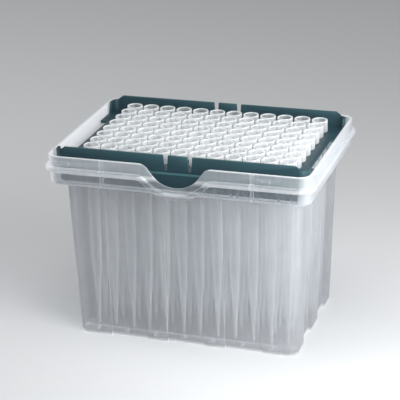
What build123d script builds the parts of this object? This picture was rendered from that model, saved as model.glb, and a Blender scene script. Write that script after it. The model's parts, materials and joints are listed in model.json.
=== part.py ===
from build123d import *
import os
from math import atan2, tan

# Box of pipette tips: an open base box, a carrier seated on the ledge inside its collar,
# and a grid of loose tips that hang by their heads in the carrier's holes.
# Millimetres. The origin is the centre of the base's underside, +Z is up and -Y is the front.

# ---- Tips: hollow, with a thick head, a long barrel and a drawn-out point ----
tip_columns = 12
tip_rows = 8
tip_length = 96.0
head_height = 5.9
barrel_radius = 3.4  # just under the head
barrel_draw = 0.65  # how much the barrel narrows before the point starts
head_step = 0.625  # ledge of the head that rests on the carrier
head_wall = 0.625
barrel_wall = 0.5
funnel_length = 1.6
point_length = 38.0
point_radius = 0.55
orifice_radius = 0.25
head_gap = 0.95  # between neighbouring heads

head_radius = barrel_radius + head_step
barrel_low_radius = barrel_radius - barrel_draw
seat_radius = head_radius - head_wall
tip_pitch = 2 * head_radius + head_gap
grid_half_x = tip_pitch * (tip_columns - 1) / 2
grid_half_y = tip_pitch * (tip_rows - 1) / 2
grid_offset_x = 1.6  # the grid sits a little right of and behind the box's centre
grid_offset_y = 1.1
grid_reach_x = grid_half_x + grid_offset_x
grid_reach_y = grid_half_y + grid_offset_y

# ---- Heights, from the floor of the box up to the mouths of the tips ----
floor_thickness = 1.5
tip_end_room = 1.8
skirt_depth = 8.9  # from the top of the carrier's plate down to the ledge
ledge_thickness = 1.3
rim_above_plate = 4.5
tip_end_z = floor_thickness + tip_end_room
mouth_z = tip_end_z + tip_length
plate_z = mouth_z - head_height
ledge_z = plate_z - skirt_depth
shoulder_z = ledge_z - ledge_thickness
rim_z = plate_z + rim_above_plate

# ---- Carrier: plate, upright walls front and back, skirts that stand on the ledge ----
plate_thickness = 1.5
hole_clearance = 0.12
carrier_margin_x = 12.1  # from the last tip's axis to the edge of the plate
carrier_margin_y = 9.7
carrier_corner_radius = 4.5
carrier_wall = 1.2
carrier_wall_rise = 7.8
wall_end_inset = 5.6  # from the plate's edge to where the wall's top starts to fall
wall_end_run = 2.8
wall_end_drop = 2.0
return_length = 5.5  # of the wall that turns each corner
return_slope_run = 3.0
slot_spacing = 12.1
slot_top_width = 2.5
slot_foot_width = 1.3
skirt_step = 1.4  # how far the skirt stands out past the wall
skirt_thickness = 1.8
skirt_drop = 0.8  # from the top of the plate to the top of the skirt
skirt_end_inset = 3.7
skirt_corner_radius = 2.0
notch_depth = 3.8
notch_length = 43.0
notch_corner_radius = 1.2
cut_past = 5.0  # how far the carrier's cuts run past its faces
carrier_half_x = grid_reach_x + carrier_margin_x
carrier_half_y = grid_reach_y + carrier_margin_y
skirt_half_y = carrier_half_y + skirt_step

# ---- Collar of the base box, round the carrier ----
collar_gap_x = 1.2
collar_gap_y = 2.8
collar_wall = 1.4
collar_taper = 0.6
collar_corner_radius = 6.5
collar_foot_radius = 1.1
rib_thickness = 0.9
rib_clearance = 0.3
rib_top_drop = 1.0
rib_spacing = 75.0
rim_half_x = carrier_half_x + collar_gap_x + collar_wall
rim_half_y = skirt_half_y + collar_gap_y + collar_wall

# ---- Finger scoops, and the bead that runs round the collar and under them ----
scoop_depth = 11.2
scoop_half_width = 15.4
scoop_floor_half_width = 7.5
scoop_lip_radius = 6.0
dip_floor_share = 0.96  # how much of a dip's floor its two fillets take up
bead_drop = 6.6
bead_thickness = 2.6
bead_reach = 1.7
bead_edge_radius = 0.9
bead_flank_room = 1.6  # how much wider than the scoop its dip is
bead_dip_loss = 2.6  # how much shallower
bead_z = rim_z - bead_drop

# ---- Raised oval mould marks on the front of the collar ----
mark_length = 7.8
mark_height = 2.3
mark_relief = 0.25
mark_above_bead = 3.2
mark_centres_x = (-57.0, 43.0)

# ---- Tapering body, with sunk panels between its posts ----
body_wall = 1.1
body_taper = 2.8  # each side, from the shoulder down to the underside
body_corner_radius = 4.6
front_panel_depth = 1.1
front_panel_width = 19.0
front_panel_pitch = 29.7
front_panels = 3
side_panel_depth = 2.0
side_panel_width = 16.6
side_panel_pitch = 29.1
side_panels = 2
tip_room_x = 1.9  # from the outermost barrels to the panels, at the ledge
tip_room_y = 1.3
shoulder_half_x = grid_reach_x + barrel_radius + tip_room_x + side_panel_depth + body_wall
shoulder_half_y = grid_reach_y + barrel_radius + tip_room_y + front_panel_depth + body_wall


def panel_centres(count, pitch):
    """Places of evenly spread panels along a wall."""
    return [pitch * (i - (count - 1) / 2) for i in range(count)]


def body_section(height, inset):
    """The body's outline at a height, drawn in by the inset, with its panels sunk."""
    grow = body_taper * (height - shoulder_z) / shoulder_z - inset
    half_x = shoulder_half_x + grow
    half_y = shoulder_half_y + grow
    with BuildSketch(Plane.XY.offset(height)) as section:
        RectangleRounded(2 * half_x, 2 * half_y, body_corner_radius - inset)
        for side in (-1, 1):
            for x in panel_centres(front_panels, front_panel_pitch):
                with Locations((x, side * half_y)):
                    Rectangle(front_panel_width + 2 * inset, 2 * front_panel_depth, mode=Mode.SUBTRACT)
            for y in panel_centres(side_panels, side_panel_pitch):
                with Locations((side * half_x, y)):
                    Rectangle(2 * side_panel_depth, side_panel_width + 2 * inset, mode=Mode.SUBTRACT)
    return section.sketch


def collar_draw(height):
    """How far the collar's outer face stands in from the rim's at a height."""
    return collar_taper * (rim_z - height) / (rim_z - shoulder_z)


def collar_section(height, inset):
    """The collar's outline at a height, drawn in by the inset."""
    grow = -collar_draw(height) - inset
    with BuildSketch(Plane.XY.offset(height)) as section:
        RectangleRounded(
            2 * (rim_half_x + grow), 2 * (rim_half_y + grow), collar_corner_radius - inset
        )
    return section.sketch


def dip_points(reach, level, half_width, floor_half_width, depth):
    """Corners of a level line with one flat-bottomed dip in its middle."""
    return [
        (-reach, level),
        (-half_width, level),
        (-floor_half_width, level - depth),
        (floor_half_width, level - depth),
        (half_width, level),
        (reach, level),
    ]


def dip_radii(half_width, floor_half_width, depth):
    """Fillets of the four corners of a dip: its floor is one round sweep."""
    flank = atan2(depth, half_width - floor_half_width)
    floor_radius = dip_floor_share * floor_half_width / tan(flank / 2)
    return [scoop_lip_radius, floor_radius, floor_radius, scoop_lip_radius]


# ---- Bead: a level band round the collar that dips under each scoop ----
bead_half_width = scoop_half_width + bead_flank_room
bead_floor_half_width = scoop_floor_half_width + bead_flank_room / 2
bead_dip = scoop_depth - bead_dip_loss
bead_half_x = rim_half_x + bead_reach
bead_half_y = rim_half_y + bead_reach

with BuildPart() as bead:
    with BuildSketch(Plane.XZ) as band:
        with BuildLine():
            FilletPolyline(
                *dip_points(2 * rim_half_x, bead_z, bead_half_width, bead_floor_half_width, bead_dip),
                radius=dip_radii(bead_half_width, bead_floor_half_width, bead_dip),
            )
        trace(line_width=bead_thickness)
    extrude(amount=2 * rim_half_y, both=True)
    with BuildSketch(Plane.XY) as ring:
        RectangleRounded(2 * bead_half_x, 2 * bead_half_y, collar_corner_radius + bead_reach)
        RectangleRounded(
            2 * (rim_half_x - collar_wall),
            2 * (rim_half_y - collar_wall),
            collar_corner_radius - collar_wall,
            mode=Mode.SUBTRACT,
        )
    extrude(amount=rim_z, mode=Mode.INTERSECT)
    outer_edges = bead.edges().filter_by(
        lambda e: all(
            abs(v.X) > bead_half_x - 0.01 or abs(v.Y) > bead_half_y - 0.01 for v in e.vertices()
        )
    )
    fillet(outer_edges, bead_edge_radius)

# ---- Base box: body, shoulder and collar in one moulding, open at the top ----
with BuildPart() as base_box:
    loft([collar_section(shoulder_z, 0), collar_section(rim_z, 0)])
    fillet(base_box.edges().group_by(Axis.Z)[0], collar_foot_radius)
    loft([collar_section(ledge_z, collar_wall), collar_section(rim_z, collar_wall)], mode=Mode.SUBTRACT)
    loft([body_section(0, 0), body_section(shoulder_z, 0)], ruled=True)
    loft(
        [body_section(floor_thickness, body_wall), body_section(ledge_z, body_wall)],
        ruled=True,
        mode=Mode.SUBTRACT,
    )
    add(bead.part)
    # ribs inside the collar that keep the carrier centred
    rib_reach = collar_gap_y - rib_clearance
    rib_height = rim_z - rib_top_drop - ledge_z
    for side in (-1, 1):
        for x in (-rib_spacing / 2, rib_spacing / 2):
            with Locations((x, side * (rim_half_y - collar_wall - rib_reach / 2), ledge_z)):
                Box(
                    rib_thickness,
                    rib_reach,
                    rib_height,
                    align=(Align.CENTER, Align.CENTER, Align.MIN),
                )
    # finger scoops through the front and back of the collar
    with BuildSketch(Plane.XZ) as scoop:
        with BuildLine():
            scoop_line = FilletPolyline(
                *dip_points(
                    scoop_half_width + scoop_lip_radius,
                    rim_z,
                    scoop_half_width,
                    scoop_floor_half_width,
                    scoop_depth,
                ),
                radius=dip_radii(scoop_half_width, scoop_floor_half_width, scoop_depth),
            )
            Polyline(
                scoop_line @ 0,
                scoop_line @ 0 + (0, scoop_lip_radius),
                scoop_line @ 1 + (0, scoop_lip_radius),
                scoop_line @ 1,
            )
        make_face()
    extrude(amount=2 * rim_half_y, both=True, mode=Mode.SUBTRACT)
    # oval mould marks
    mark_z = bead_z + mark_above_bead
    mark_plane = Plane.XZ.offset(rim_half_y - collar_wall / 2)
    with BuildSketch(mark_plane) as marks:
        with Locations(*[(x, mark_z) for x in mark_centres_x]):
            SlotOverall(mark_length, mark_height)
    extrude(amount=collar_wall / 2 - collar_draw(mark_z) + mark_relief)
base_box.part.label = "base_box"

# ---- Tip carrier: one moulding that holds every tip and stands on the ledge ----
with BuildPart() as tip_carrier:
    with BuildSketch(Plane.XY.offset(plate_z - plate_thickness)) as outline:
        RectangleRounded(2 * carrier_half_x, 2 * carrier_half_y, carrier_corner_radius)
    extrude(amount=plate_thickness + carrier_wall_rise)
    with BuildSketch(Plane.XY.offset(plate_z)) as inside:
        RectangleRounded(
            2 * (carrier_half_x - carrier_wall),
            2 * (carrier_half_y - carrier_wall),
            carrier_corner_radius - carrier_wall,
        )
    extrude(amount=carrier_wall_rise, mode=Mode.SUBTRACT)
    # the walls front and back fall away towards the corners
    wall_top_z = plate_z + carrier_wall_rise
    fall_start = carrier_half_x - wall_end_inset
    for side in (-1, 1):
        with BuildSketch(Plane.XZ) as fall:
            Polygon(
                (side * fall_start, wall_top_z),
                (side * (fall_start + wall_end_run), wall_top_z - wall_end_drop),
                (side * (carrier_half_x + cut_past), wall_top_z - wall_end_drop),
                (side * (carrier_half_x + cut_past), wall_top_z),
                align=None,
            )
        extrude(amount=carrier_half_y + cut_past, both=True, mode=Mode.SUBTRACT)
    # the sides are open between short sloped returns
    return_start = carrier_half_y - return_length
    with BuildSketch(Plane.YZ) as side_gap:
        Polygon(
            (-return_start, wall_top_z),
            (-return_start + return_slope_run, plate_z),
            (return_start - return_slope_run, plate_z),
            (return_start, wall_top_z),
            align=None,
        )
    extrude(amount=carrier_half_x + cut_past, both=True, mode=Mode.SUBTRACT)
    # two slots in each wall leave a springy tab between them
    with BuildSketch(Plane.XZ) as slots:
        for x in (-slot_spacing / 2, slot_spacing / 2):
            Polygon(
                (x - slot_top_width / 2, wall_top_z),
                (x - slot_foot_width / 2, plate_z),
                (x + slot_foot_width / 2, plate_z),
                (x + slot_top_width / 2, wall_top_z),
                align=None,
            )
    extrude(amount=carrier_half_y + cut_past, both=True, mode=Mode.SUBTRACT)
    # skirts that stand on the ledge of the base box
    for side in (-1, 1):
        skirt_plane = Plane.XZ.offset(-side * (skirt_half_y - skirt_thickness))
        with BuildSketch(skirt_plane) as skirt:
            with Locations((0, (ledge_z + plate_z - skirt_drop) / 2)):
                Rectangle(2 * (carrier_half_x - skirt_end_inset), skirt_depth - skirt_drop)
            fillet(skirt.vertices().group_by(Axis.Y)[0], skirt_corner_radius)
        extrude(amount=-side * skirt_thickness)
    # notches in the sides of the plate
    with BuildSketch(Plane.XY.offset(plate_z)) as notches:
        with Locations((-carrier_half_x, 0), (carrier_half_x, 0)):
            RectangleRounded(2 * notch_depth, notch_length, notch_corner_radius)
    extrude(amount=-plate_thickness, mode=Mode.SUBTRACT)
    # one hole for each tip
    with Locations((grid_offset_x, grid_offset_y, plate_z)):
        with GridLocations(tip_pitch, tip_pitch, tip_columns, tip_rows):
            Hole(barrel_radius + hole_clearance, depth=plate_thickness)
tip_carrier.part.label = "tip_carrier"

# ---- One tip, turned about its own axis ----
point_top_z = tip_end_z + point_length
with BuildPart() as tip:
    with BuildSketch(Plane.XZ) as wall:
        Polygon(
            (seat_radius, mouth_z),
            (head_radius, mouth_z),
            (head_radius, plate_z),
            (barrel_radius, plate_z),
            (barrel_low_radius, point_top_z),
            (point_radius, tip_end_z),
            (orifice_radius, tip_end_z),
            (barrel_low_radius - barrel_wall, point_top_z),
            (barrel_radius - barrel_wall, plate_z),
            (seat_radius, plate_z + funnel_length),
            align=None,
        )
    revolve(axis=Axis.Z)

os.makedirs("parts", exist_ok=True)
export_step(base_box.part, "parts/base_box.step")
export_step(tip_carrier.part, "parts/tip_carrier.step")

# ---- Tips, one group for each column of the grid, counted from the left ----
for column in range(tip_columns):
    column_x = grid_offset_x - grid_half_x + tip_pitch * column
    with BuildPart() as tips:
        with Locations((column_x, grid_offset_y)):
            with GridLocations(tip_pitch, tip_pitch, 1, tip_rows):
                add(tip.part)
    tips.part.label = f"tips_column_{column + 1:02d}"
    export_step(tips.part, f"parts/{tips.part.label}.step")
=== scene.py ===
import json
import math
import random

import bpy
from mathutils import Matrix, Vector


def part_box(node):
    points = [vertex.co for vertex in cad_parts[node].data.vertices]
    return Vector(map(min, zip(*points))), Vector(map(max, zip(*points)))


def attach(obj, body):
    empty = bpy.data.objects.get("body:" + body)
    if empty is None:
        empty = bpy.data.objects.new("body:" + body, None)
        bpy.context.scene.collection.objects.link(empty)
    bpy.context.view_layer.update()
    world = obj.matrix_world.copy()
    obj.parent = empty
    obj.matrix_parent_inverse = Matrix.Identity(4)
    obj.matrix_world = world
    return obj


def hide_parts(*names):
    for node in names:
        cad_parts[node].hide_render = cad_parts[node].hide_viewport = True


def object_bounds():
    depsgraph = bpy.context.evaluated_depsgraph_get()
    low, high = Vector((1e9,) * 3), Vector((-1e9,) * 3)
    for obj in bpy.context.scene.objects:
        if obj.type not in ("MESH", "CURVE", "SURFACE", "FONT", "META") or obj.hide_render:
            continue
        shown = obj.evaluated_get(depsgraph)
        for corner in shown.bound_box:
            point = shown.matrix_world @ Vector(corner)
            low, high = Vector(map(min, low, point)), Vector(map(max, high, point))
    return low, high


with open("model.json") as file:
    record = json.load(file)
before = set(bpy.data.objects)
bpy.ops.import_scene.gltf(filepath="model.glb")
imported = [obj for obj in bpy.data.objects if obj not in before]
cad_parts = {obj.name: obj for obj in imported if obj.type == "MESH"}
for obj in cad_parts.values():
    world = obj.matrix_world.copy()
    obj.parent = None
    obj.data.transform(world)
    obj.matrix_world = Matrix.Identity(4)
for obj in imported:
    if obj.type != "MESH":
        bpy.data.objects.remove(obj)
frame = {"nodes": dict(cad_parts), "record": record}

cad_low, cad_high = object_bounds()

# ---------------------------------------------------------------------------------------
# Base box
# One thin-walled moulding in milky polypropylene: a tapering body with sunk wall panels,
# a ledge, and a wider collar with a stiffening bead and finger scoops. Every edge that the
# mould leaves is slightly rounded, and the plastic whitens where it is thick. Its colour also
# holds painted highlights on the rim and bead, painted light and a painted glow at the collar's
# left end and bottom edge, painted shade low on the left and a painted cool reflection on the
# collar.
# ---------------------------------------------------------------------------------------
same_point = 1e-6
flat_angle = math.radians(0.6)
sharp_angle = math.radians(32)
crease_angle = math.radians(28)


def select_only(piece):
    """Makes one piece the only thing that the next operator acts on."""
    bpy.ops.object.select_all(action="DESELECT")
    piece.select_set(True)
    bpy.context.view_layer.objects.active = piece


def soft_edged_copy(node, name, edge_radius):
    """A welded copy of a moulding, with its sharp edges rounded, that stands for its node."""
    select_only(frame["nodes"][node])
    bpy.ops.object.duplicate()
    copy = bpy.context.active_object
    copy.name = name
    bpy.ops.mesh.customdata_custom_splitnormals_clear()
    bpy.ops.object.mode_set(mode="EDIT")
    bpy.ops.mesh.select_all(action="SELECT")
    bpy.ops.mesh.remove_doubles(threshold=same_point)
    bpy.ops.mesh.dissolve_limited(angle_limit=flat_angle)
    bpy.ops.object.mode_set(mode="OBJECT")
    rounding = copy.modifiers.new("rounding", "BEVEL")
    rounding.width = edge_radius
    rounding.segments = 2
    rounding.limit_method = "ANGLE"
    rounding.angle_limit = sharp_angle
    rounding.use_clamp_overlap = False
    bpy.ops.object.modifier_apply(modifier="rounding")
    # a rounded corner stays inside the moulding's own size
    low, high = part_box(node)
    for corner in copy.data.vertices:
        corner.co = [min(max(p, a), b) for p, a, b in zip(corner.co, low, high)]
    bpy.ops.object.shade_smooth_by_angle(angle=crease_angle)
    copy.parent = None
    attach(copy, "root")
    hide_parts(node)
    return copy


class Wire:
    """An output in a finish's node tree: arithmetic on it adds Math nodes."""

    def __init__(self, finish, socket):
        self.finish = finish
        self.socket = socket

    def maths(self, operation, *values):
        return self.finish.node("ShaderNodeMath", {"operation": operation}, *values)

    def __add__(self, other):
        return self.maths("ADD", self, other)

    def __sub__(self, other):
        return self.maths("SUBTRACT", self, other)

    def __rsub__(self, other):
        return self.maths("SUBTRACT", other, self)

    def __mul__(self, other):
        return self.maths("MULTIPLY", self, other)

    def __pow__(self, other):
        return self.maths("POWER", self, other)

    __radd__ = __add__
    __rmul__ = __mul__

    def over(self, low, high):
        """0 below low, 1 above high, and a soft step between them."""
        return self.finish.node(
            "ShaderNodeMapRange", {"interpolation_type": "SMOOTHSTEP"}, self, low, high
        )

    def away_from(self, centre):
        """How far the value is from a centre, either way."""
        return self.maths("ABSOLUTE", self - centre)

    def within(self, low, high, edge):
        """1 between low and high, falling to 0 over the edge outside them."""
        return self.over(low - edge, low) * (1 - self.over(high, high + edge))


class Finish:
    """The finish of a piece, made of shader nodes."""

    def __init__(self, name):
        self.material = bpy.data.materials.new(name)
        self.material.use_nodes = True
        self.tree = self.material.node_tree
        self.tree.nodes.clear()

    def node(self, kind, settings, *inputs, output=0, **named):
        """Adds a node and returns one of its outputs as a Wire.

        Inputs go in by place, or by name with underscores for spaces. None leaves one alone.
        """
        made = self.tree.nodes.new(kind)
        for setting, value in settings.items():
            setattr(made, setting, value)
        places = list(enumerate(inputs)) + [(k.replace("_", " "), v) for k, v in named.items()]
        for place, value in places:
            if value is None:
                continue
            if isinstance(value, Wire):
                self.tree.links.new(value.socket, made.inputs[place])
            else:
                made.inputs[place].default_value = value
        return Wire(self, made.outputs[output])

    def blend(self, share, first, second):
        """A colour between two colours, which are the seventh and eighth inputs of a Mix."""
        skipped = [None] * 5
        return self.node(
            "ShaderNodeMix", {"data_type": "RGBA"}, share, *skipped, first, second, output=2
        )

    def clamp(self, value, most=1.0):
        """The value, held between 0 and its limit."""
        return self.node("ShaderNodeClamp", {}, value, 0.0, most)

    def place(self):
        """The point's place in the object, whole and as X, Y and Z."""
        point = self.node("ShaderNodeTexCoord", {}, output="Object")
        return point, [self.node("ShaderNodeSeparateXYZ", {}, point, output=i) for i in "XYZ"]

    def noise(self, point, scale, detail=3.0, stretch=None):
        """Soft noise over the object, stretched along an axis if asked."""
        if stretch:
            point = self.node("ShaderNodeMapping", {}, point, Scale=stretch)
        return self.node("ShaderNodeTexNoise", {}, point, Scale=scale, Detail=detail)

    def relief(self, height, strength, depth):
        """The normal of a surface with a fine relief in it."""
        return self.node("ShaderNodeBump", {}, Strength=strength, Distance=depth, Height=height)

    def edge_on(self):
        """0 where the surface faces the eye, and 1 where it is seen edge on."""
        return self.node("ShaderNodeLayerWeight", {}, Blend=0.5, output="Facing")

    def once_a_wall(self, hiding, most, shadow_loss):
        """How much of what lies behind it a thin wall hides, counted once for each wall.

        A ray meets the haze on its way in, and the face that it leaves by adds nothing.
        Haze only scatters light, so the shadow that it casts is thinner than it looks.
        """
        shadow = self.node("ShaderNodeLightPath", {}, output="Is Shadow Ray")
        leaving = self.node("ShaderNodeNewGeometry", {}, output="Backfacing")
        return self.clamp(hiding * (1 - shadow_loss * shadow), most) * (1 - leaving)

    def hazy(self, hiding, skin, glow_share, glow_colour, clear_colour):
        """A plastic that glows with the light behind it where it hides, and is clear elsewhere."""
        glow = self.node("ShaderNodeBsdfTranslucent", {}, glow_colour)
        body = self.node("ShaderNodeMixShader", {}, glow_share, skin, glow)
        clear = self.node("ShaderNodeBsdfTransparent", {}, clear_colour)
        return self.node("ShaderNodeMixShader", {}, hiding, clear, body)

    def coats(self, piece, shader):
        """Sends the shader to the material's output, and gives the piece this finish all over."""
        end = self.tree.nodes.new("ShaderNodeOutputMaterial")
        self.tree.links.new(shader.socket, end.inputs["Surface"])
        piece.data.materials.clear()
        piece.data.materials.append(self.material)


box_edge_radius = 0.00022
bead_drop = 0.0066
box_low, box_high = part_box("base_box")
carrier_low, carrier_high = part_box("tip_carrier")
ledge_z = carrier_low.z
rim_z = box_high.z
bead_z = rim_z - bead_drop

base_box = soft_edged_copy("base_box", "base_box_shell", box_edge_radius)

plastic_ior = 1.49
milky = Finish("milky_polypropylene")
point, (x, y, z) = milky.place()
from_middle_x, from_middle_y = x.away_from(0.0), y.away_from(0.0)
edge_on = milky.edge_on()
cloud = milky.noise(point, scale=38.0)
grain = milky.noise(point, scale=900.0, detail=2.0)
drawn = milky.noise(point, scale=420.0, detail=2.0, stretch=(1.0, 1.0, 0.02))
to_end_x = 0.060
leftward = 1 - x.over(-to_end_x, to_end_x)

# the collar, and the places that whiten: the thick rim, foot, bead and collar ends, with painted
# highlights on the rim and bead and painted light on the left end
collar_foot_z, collar_fade = ledge_z - 0.0008, 0.0008
end_from_x, end_full_x = carrier_high.x - 0.0034, carrier_high.x + 0.0008
rim_depth, rim_fade = 0.0001, 0.0005
foot_height, foot_fade = 0.0008, 0.0018
foot_edge_height, foot_edge_fade = 0.0004, 0.0005
bead_below, bead_above, bead_fade = 0.0009, 0.0004, 0.0005
collar = z.over(collar_foot_z - collar_fade, collar_foot_z)
collar_ends = collar * from_middle_x.over(end_from_x, end_full_x)
lit_left_end = collar_ends * leftward
rim_line = z.over(rim_z - rim_depth - rim_fade, rim_z - rim_depth)
foot_line = 1 - z.over(foot_height, foot_height + foot_fade)
foot_edge = 1 - z.over(foot_edge_height, foot_edge_height + foot_edge_fade)
bead_band = z.within(bead_z - bead_below, bead_z + bead_above, bead_fade)

# the wall looks clear where the skirt of the carrier stands close behind it
skirt_from_x, skirt_end_x = carrier_high.x - 0.0037, carrier_high.x - 0.0030
skirt_low_z, skirt_high_z, skirt_fade = ledge_z + 0.0003, bead_z - 0.0022, 0.0003
before_skirt = 1 - from_middle_x.over(skirt_from_x, skirt_end_x)
skirt_band = before_skirt * z.within(skirt_low_z, skirt_high_z, skirt_fade)

# the raised oval marks on the front, with the dot of the ejector pin in the middle of each
mark_places_x, mark_above_bead = (-0.057, 0.043), 0.0032
mark_half_length, mark_half_height = 0.0039, 0.00115
mark_rim, dot_rim = (0.85, 1.0), (0.02, 0.05)
front_from_y, front_fade = box_low.y + 0.004, 0.002
mark_z = bead_z + mark_above_bead
front_wall = 1 - y.over(front_from_y, front_from_y + front_fade)
marks, dots = 0.0, 0.0
for mark_x in mark_places_x:
    reach = (x.away_from(mark_x) * (1 / mark_half_length)) ** 2.0
    reach = reach + (z.away_from(mark_z) * (1 / mark_half_height)) ** 2.0
    marks = marks + front_wall * (1 - reach.over(*mark_rim))
    dots = dots + front_wall * (1 - reach.over(*dot_rim))

# the ribs inside the collar, seen edge on through its wall
rib_x, rib_side = 0.0375, (0.0004, 0.0007)
ribs = collar * (1 - from_middle_x.away_from(rib_x).over(*rib_side))

# fine ribs on the floor: one along each long wall, and short ones from it to the wall
floor_top, floor_fade = 0.0015, (0.0001, 0.0003)
floor_end_y, floor_end_fade = 0.0352, 0.0002
long_rib_y, long_rib_fade = 0.0300, 0.0001
short_rib_pitch, short_rib_shift = 0.0152, 0.0020
floor_rib_side = (0.0003, 0.0006)
on_floor = 1 - z.over(*(floor_top + fade for fade in floor_fade))
on_floor = on_floor * (1 - from_middle_y.over(floor_end_y, floor_end_y + floor_end_fade))
long_ribs = 1 - from_middle_y.away_from(long_rib_y).over(*floor_rib_side)
to_short_rib = x.maths("PINGPONG", x + short_rib_shift, short_rib_pitch / 2)
short_ribs = from_middle_y.over(long_rib_y, long_rib_y + long_rib_fade)
short_ribs = short_ribs * (1 - to_short_rib.over(*floor_rib_side))
floor_ribs = on_floor * (short_ribs + long_ribs)

# how much of what lies behind it the wall hides: all over, and more or less in places
wall_haze, collar_haze = 0.38, 0.16 + 0.16 * leftward
hiding = wall_haze + collar * collar_haze
for more, where in (
    (-0.28, skirt_band),
    (0.40, rim_line),
    (0.40, foot_line),
    (0.30, bead_band),
    (0.30, collar_ends),
    (0.30, ribs),
    (0.04, marks),
    (0.30, dots),
    (0.60, floor_ribs),
    (0.30 + 0.30 * collar, edge_on ** 3.0),
    (0.14, drawn - 0.5),
    (0.20, cloud - 0.5),
):
    hiding = hiding + more * where
hiding = milky.once_a_wall(hiding, most=0.97, shadow_loss=0.60)

# the tint: clouded grey, painted shade low on the left, a painted cool reflection on the collar,
# and white where thick, with painted highlights and painted light on top
grey_milk, pale_milk = (0.70, 0.71, 0.725, 1), (0.80, 0.81, 0.82, 1)
shade_milk, cool_reflection_milk = (0.42, 0.42, 0.41, 1), (0.65, 0.71, 0.76, 1)
white_milk = (0.90, 0.92, 0.94, 1)
shade_from_x, shade_full_x = -0.0555, -0.0450
# painted shade: the body below the collar is painted darker towards the left, where the key lamp's
# light falls off
painted_shade_low_left = (1 - collar) * leftward * x.over(shade_from_x, shade_full_x)
# white where the plastic is thick, plus painted highlights on the rim and bead and painted light
# on the collar's ends, most on the left end
thick_and_highlit = rim_line + foot_line + floor_ribs + 0.6 * bead_band + 0.2 * collar_ends + lit_left_end
tint = milky.blend(cloud, grey_milk, pale_milk)
for share, milk in (
    (0.9 * painted_shade_low_left, shade_milk),
    # painted reflection: the collar is tinted cooler for the bluish surroundings that it reflects
    (0.7 * collar, cool_reflection_milk),
    (milky.clamp(thick_and_highlit), white_milk),
):
    tint = milky.blend(share, tint, milk)

# a painted glow, as emission, on the bottom edge, the ribs of the floor and the collar's left end,
# standing in for light that the wall pipes there
no_light, painted_glow_colour = (0.0, 0.0, 0.0, 1), (0.42, 0.43, 0.44, 1)
painted_glow = milky.blend(foot_edge + floor_ribs + 0.45 * lit_left_end, no_light, painted_glow_colour)

skin = milky.node(
    "ShaderNodeBsdfPrincipled",
    {},
    tint,
    Roughness=0.30 + 0.12 * cloud,
    IOR=plastic_ior,
    Normal=milky.relief(grain + 2.0 * cloud, strength=0.12, depth=0.0002),
    Emission_Color=painted_glow,
    Emission_Strength=1.0,
)
milky_plastic = milky.hazy(
    hiding,
    skin,
    glow_share=0.45,
    glow_colour=(0.88, 0.89, 0.91, 1),
    clear_colour=(0.94, 0.945, 0.955, 1),
)
milky.coats(base_box, milky_plastic)

# ---------------------------------------------------------------------------------------
# Tip carrier
# One dark teal moulding that stands loose on the ledge and holds every tip by its head.
# Satin from the mould, with a faint flow pattern, and painted highlights that make the edges
# of its walls and the top edge of its skirt paler.
# ---------------------------------------------------------------------------------------
carrier_edge_radius = 0.00018
plate_rise, skirt_rise = 0.0089, 0.0081
plate_top = carrier_low.z + plate_rise
skirt_top = carrier_low.z + skirt_rise

carrier = soft_edged_copy("tip_carrier", "tip_carrier_moulding", carrier_edge_radius)

teal = Finish("teal_polypropylene")
point, (x, y, z) = teal.place()
flow = teal.noise(point, scale=55.0, detail=4.0, stretch=(0.3, 1.0, 1.0))
speckle = teal.noise(point, scale=1400.0, detail=2.0)

# painted highlights on the sharp edges of the walls above the plate and on the top edge of the
# skirt
highlight_from, highlight_full = 0.52, 0.60
above_from_z, above_full_z = plate_top + 0.0006, plate_top + 0.0010
edge_below, edge_above, edge_fade = 0.0003, 0.0001, 0.0002
sharpness = teal.node("ShaderNodeNewGeometry", {}, output="Pointiness")
wall_edges = sharpness.over(highlight_from, highlight_full) * z.over(above_from_z, above_full_z)
skirt_edge = z.within(skirt_top - edge_below, skirt_top + edge_above, edge_fade)
edge_highlight = teal.clamp(wall_edges + skirt_edge)

deep_teal, flow_teal = (0.012, 0.036, 0.048, 1), (0.020, 0.054, 0.068, 1)
highlight_teal = (0.08, 0.19, 0.20, 1)
colour = teal.blend(flow, deep_teal, flow_teal)
colour = teal.blend(edge_highlight * 0.5, colour, highlight_teal)
teal_plastic = teal.node(
    "ShaderNodeBsdfPrincipled",
    {},
    colour,
    Roughness=0.34 + 0.14 * flow,
    IOR=plastic_ior,
    Normal=teal.relief(speckle, strength=0.25, depth=0.0001),
    Specular_IOR_Level=0.35,
)
teal.coats(carrier, teal_plastic)

# ---------------------------------------------------------------------------------------
# Tips
# Clear polypropylene, injection moulded and hollow: a thick head with a round lip, a long
# barrel and a drawn-out point. Each hangs loose by its head in its own hole of the carrier.
# ---------------------------------------------------------------------------------------
mouths = {m["name"]: m for m in frame["record"]["mounts"] if m["kind"] == "bore"}
column_low, column_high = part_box("tips_column_01")
seat = mouths["tip_mouth_a01"]["dims"]
seat_radius = seat["r_mm"] / 1000
seat_length = seat["length_mm"] / 1000
head_radius = (column_high.x - column_low.x) / 2
mouth_z = column_high.z
tip_end_z = column_low.z
funnel_length = 0.0016
barrel_draw = 0.00065
point_length = 0.038
head_foot_z = mouth_z - seat_length - funnel_length
barrel_radius = seat_radius
barrel_low_radius = barrel_radius - barrel_draw
barrel_wall = 0.0005
point_top_z = tip_end_z + point_length
point_radius = 0.00055
orifice_radius = 0.00025
tip_profile = [
    (head_radius, mouth_z),
    (head_radius, head_foot_z),
    (barrel_radius, head_foot_z),
    (barrel_low_radius, point_top_z),
    (point_radius, tip_end_z),
    (orifice_radius, tip_end_z),
    (barrel_low_radius - barrel_wall, point_top_z),
    (barrel_radius - barrel_wall, head_foot_z),
    (seat_radius, mouth_z - seat_length),
    (seat_radius, mouth_z),
]
tip_sides = 32
tip_edge_radius = 0.00016
tip_sharp_angle = math.radians(20)
tip_crease_angle = math.radians(40)


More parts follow.
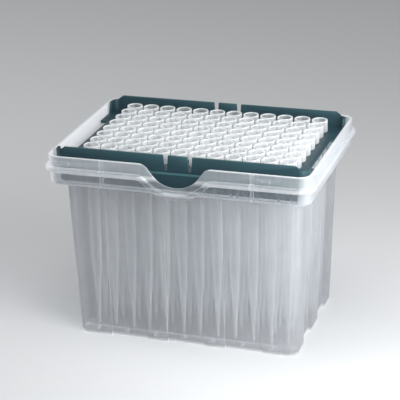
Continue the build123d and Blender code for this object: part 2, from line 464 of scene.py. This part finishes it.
def turned_tip(profile, sides):
    """One tip on the Z axis: a ring drawn along its profile and closed at the lip."""
    radius, height = profile[0]
    bpy.ops.object.select_all(action="DESELECT")
    bpy.ops.mesh.primitive_circle_add(vertices=sides, radius=radius, location=(0, 0, height))
    bpy.ops.object.transform_apply(location=True)
    bpy.ops.object.mode_set(mode="EDIT")
    bpy.ops.mesh.select_all(action="SELECT")
    for next_radius, next_height in profile[1:] + profile[:1]:
        grow = next_radius / radius
        bpy.ops.mesh.extrude_edges_move(
            TRANSFORM_OT_translate={"value": (0, 0, next_height - height)}
        )
        bpy.ops.transform.resize(value=(grow, grow, 1), center_override=(0, 0, next_height))
        radius, height = next_radius, next_height
    bpy.ops.mesh.select_all(action="SELECT")
    bpy.ops.mesh.remove_doubles(threshold=same_point)
    bpy.ops.mesh.normals_make_consistent(inside=False)
    bpy.ops.object.mode_set(mode="OBJECT")
    tip = bpy.context.active_object
    rounding = tip.modifiers.new("rounding", "BEVEL")
    rounding.width = tip_edge_radius
    rounding.segments = 2
    rounding.limit_method = "ANGLE"
    rounding.angle_limit = tip_sharp_angle
    rounding.use_clamp_overlap = True
    bpy.ops.object.modifier_apply(modifier="rounding")
    bpy.ops.object.shade_smooth_by_angle(angle=tip_crease_angle)
    return tip


first_tip = turned_tip(tip_profile, tip_sides)

clear_tip = Finish("clear_polypropylene")
point, (x, y, z) = clear_tip.place()
edge_on = clear_tip.edge_on()
each_tip = clear_tip.node("ShaderNodeNewGeometry", {}, output="Random Per Island")
haze = clear_tip.noise(point, scale=260.0, detail=2.0, stretch=(1.0, 1.0, 0.15))
lip_height, lip_fade = 0.0003, 0.0004
head_from_z, head_full_z = head_foot_z - 0.0004, head_foot_z + 0.0002
point_full_z = tip_end_z + 0.004
lip = z.over(mouth_z - lip_height - lip_fade, mouth_z - lip_height)
head = z.over(head_from_z, head_full_z)
drawn_out = 1 - z.over(point_full_z, point_top_z)

# a tip hides little but its outline, its lip and the thick plastic of its head and point
barrel_haze = 0.11
hiding = barrel_haze
for more, where in (
    (0.29, head),
    (0.45, lip),
    (0.32, drawn_out),
    (0.75 * head, edge_on ** 2.0),
    (1.05 * (1 - head), edge_on ** 1.2),
    (0.06 + 0.50 * head, haze - 0.5),
    (0.10, each_tip - 0.5),
):
    hiding = hiding + more * where
hiding = clear_tip.once_a_wall(hiding, most=0.96, shadow_loss=0.10)

cool_clear, pale_clear = (0.91, 0.94, 0.95, 1), (0.97, 0.98, 0.99, 1)
skin = clear_tip.node(
    "ShaderNodeBsdfPrincipled",
    {},
    clear_tip.blend(haze, cool_clear, pale_clear),
    Roughness=0.10 + 0.10 * haze,
    IOR=plastic_ior,
    Normal=clear_tip.relief(haze, strength=0.15, depth=0.0001),
    Specular_IOR_Level=1.0,
)
clear_plastic = clear_tip.hazy(
    hiding,
    skin,
    glow_share=0.35,
    glow_colour=(0.93, 0.95, 0.97, 1),
    clear_colour=(1, 1, 1, 1),
)
clear_tip.coats(first_tip, clear_plastic)

# each tip is turned its own way and leans a little in its hole
lean = random.Random(12)
most_lean = 0.3
for node in sorted(n for n in frame["nodes"] if n.startswith("tips_column_")):
    column = node[-2:]
    copies = []
    for name in sorted(n for n in mouths if n.endswith(column)):
        select_only(first_tip)
        bpy.ops.object.duplicate()
        copy = bpy.context.active_object
        mouth = Vector(mouths[name]["pos_m"])
        turn = Matrix.Rotation(lean.uniform(0, math.tau), 4, "Z")
        tilt = Matrix.Rotation(math.radians(lean.uniform(0, most_lean)), 4, "X")
        hang = Matrix.Translation((0, 0, head_foot_z))
        copy.data.transform(
            Matrix.Translation((mouth.x, mouth.y, 0)) @ hang @ turn @ tilt @ hang.inverted()
        )
        copies.append(copy)
    bpy.ops.object.select_all(action="DESELECT")
    for copy in copies:
        copy.select_set(True)
    bpy.context.view_layer.objects.active = copies[0]
    bpy.ops.object.join()
    tips = bpy.context.active_object
    tips.name = f"tips_{column}"
    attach(tips, "root")
    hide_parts(node)
bpy.data.objects.remove(first_tip)

# ---------------------------------------------------------------------------------------
# Table, lamps and camera
# A plain pale table under soft studio lamps: the key from the right, a wide fill from the
# left and a top light, with a long lens that looks down on the front of the box.
# ---------------------------------------------------------------------------------------
table_size = 6.0
bpy.ops.object.select_all(action="DESELECT")
bpy.ops.mesh.primitive_plane_add(size=table_size, location=(0, 0, 0))
table = bpy.context.active_object
table.name = "table"

table_top = Finish("pale_table")
point, _ = table_top.place()
mottle = table_top.noise(point, scale=3.0)
grey_paint, pale_paint = (0.60, 0.61, 0.62, 1), (0.64, 0.65, 0.66, 1)
# painted shade: the table is painted darker where it is seen through the box's walls, standing in
# for the light that the milky plastic scatters away
shaded_paint = (0.27, 0.28, 0.295, 1)
walls_passed = table_top.node("ShaderNodeLightPath", {}, output="Transparent Depth")
through_box = walls_passed.over(0.0, 2.0)
paint = table_top.blend(mottle, grey_paint, pale_paint)
paint = table_top.blend(through_box, paint, shaded_paint)
table_top.coats(table, table_top.node("ShaderNodeBsdfPrincipled", {}, paint, Roughness=0.75))

middle = (cad_low + cad_high) / 2


def soft_lamp(name, azimuth, elevation, distance, size, watts):
    """A square lamp that faces the middle of the box. Azimuth 0 is the front, 90 the right."""
    around, above = math.radians(azimuth), math.radians(elevation)
    away = Vector(
        (
            math.sin(around) * math.cos(above),
            -math.cos(around) * math.cos(above),
            math.sin(above),
        )
    )
    bpy.ops.object.light_add(type="AREA", location=middle + away * distance)
    lamp = bpy.context.active_object
    lamp.name = name
    lamp.rotation_euler = away.to_track_quat("Z", "Y").to_euler()
    lamp.data.size = size
    lamp.data.energy = watts


soft_lamp("key_lamp", azimuth=58, elevation=30, distance=0.29, size=0.22, watts=1.12)
soft_lamp("fill_lamp", azimuth=-84, elevation=40, distance=1.10, size=0.80, watts=5.0)
soft_lamp("top_lamp", azimuth=10, elevation=80, distance=0.90, size=0.60, watts=2.0)

room_colour, room_strength = (0.96, 0.975, 1.0, 1), 0.31
world = bpy.data.worlds.new("studio")
bpy.context.scene.world = world
world.use_nodes = True
room_light = world.node_tree.nodes["Background"]
room_light.inputs["Color"].default_value = room_colour
room_light.inputs["Strength"].default_value = room_strength

view_azimuth, view_elevation, view_roll = (math.radians(d) for d in (17.92, 21.33, -1.32))
view_distance, lens_length, film_width = 0.8155, 144.7, 36.0
aim = Vector((-0.0039, 0.0032, 0.0616))
turned = (
    Matrix.Rotation(view_azimuth, 4, "Z")
    @ Matrix.Rotation(math.pi / 2 - view_elevation, 4, "X")
    @ Matrix.Rotation(view_roll, 4, "Z")
)
bpy.ops.object.camera_add()
camera = bpy.context.active_object
camera.name = "camera"
camera.matrix_world = Matrix.Translation(aim) @ turned @ Matrix.Translation((0, 0, view_distance))
camera.data.sensor_width = film_width
camera.data.lens = lens_length
camera.data.clip_start = 0.01
bpy.context.scene.camera = camera
# a ray passes many clear walls before it reaches the far side of the box
most_walls = 48
bpy.context.scene.cycles.transparent_max_bounces = most_walls
bpy.context.scene.view_settings.view_transform = "Standard"
